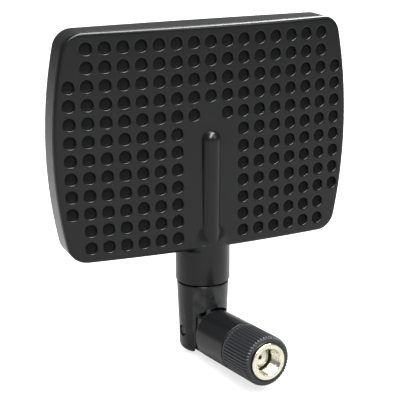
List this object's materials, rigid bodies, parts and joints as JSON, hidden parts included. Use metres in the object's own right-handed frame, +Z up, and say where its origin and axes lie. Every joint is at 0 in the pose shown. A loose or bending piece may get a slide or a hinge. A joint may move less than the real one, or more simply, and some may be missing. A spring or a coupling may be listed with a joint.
{
  "type": "indoor panel antenna",
  "caption": "Flat indoor panel antenna with a dimpled rear cover, a neck that swivels, an elbow that folds, and a screw-on coaxial plug with a knurled sleeve.",
  "frame": {"origin": "centre of the coupling nut's mouth, where it meets the jack", "axes": "+Z up the panel along its neck, +Y out of the panel's radiating front, +X across the panel; the plug points towards -Y"},
  "size_m": [0.078, 0.039, 0.0847],
  "materials": {
    "shell_plastic": "satin, fine spark-eroded grain",
    "joint_plastic": "satin, smoother than the shells",
    "sleeve_plastic": "satin moulded ribs",
    "nickel_plate": "bright nickel plate",
    "contact_brass": "gold flash over brass",
    "patch_copper": "plain rolled copper",
    "sheet_aluminium": "mill finish",
    "spring_steel": "bright",
    "white_nylon": "natural nylon",
    "ptfe": "white PTFE",
    "lead_jacket": "black jacket",
    "ring_rubber": "matt"
  },
  "bodies": {
    "arm": {"elbow_arm": "joint_plastic", "lead_in_arm": "lead_jacket", "crimp_ferrule": "nickel_plate", "plug_body": "nickel_plate", "nut_retaining_ring": "contact_brass", "insulator": "ptfe", "centre_contact": "contact_brass"},
    "nut": {"coupling_nut": "nickel_plate", "knurled_sleeve": "sleeve_plastic"},
    "yoke": {"yoke": "joint_plastic", "swivel_clip": "spring_steel", "friction_ring": "ring_rubber", "hinge_pins": "spring_steel", "lead_in_yoke": "lead_jacket"},
    "panel": {"rear_cover": "shell_plastic", "front_shell": "shell_plastic", "reflector_plate": "sheet_aluminium", "patch_plate": "patch_copper", "patch_spacers": "white_nylon", "patch_screws": "white_nylon", "feed_pin": "contact_brass", "ground_clip": "sheet_aluminium", "lead_in_panel": "lead_jacket", "neck_bush": "white_nylon"}
  },
  "joints": [
    {"name": "nut_spin", "type": "hinge", "parent": "arm", "child": "nut", "pos_m": [0, 0, 0], "axis": [0.1043, -0.9921, 0.0698], "continuous": true},
    {"name": "elbow_fold", "type": "hinge", "parent": "arm", "child": "yoke", "pos_m": [-0.00332, 0.03155, -0.00222], "axis": [-0.9945, -0.1045, 0], "range_deg": [0, 94]},
    {"name": "neck_swivel", "type": "hinge", "parent": "yoke", "child": "panel", "pos_m": [-0.00332, 0.03155, 0.01778], "axis": [0, 0, 1], "range_deg": [-170, 170]}
  ]
}
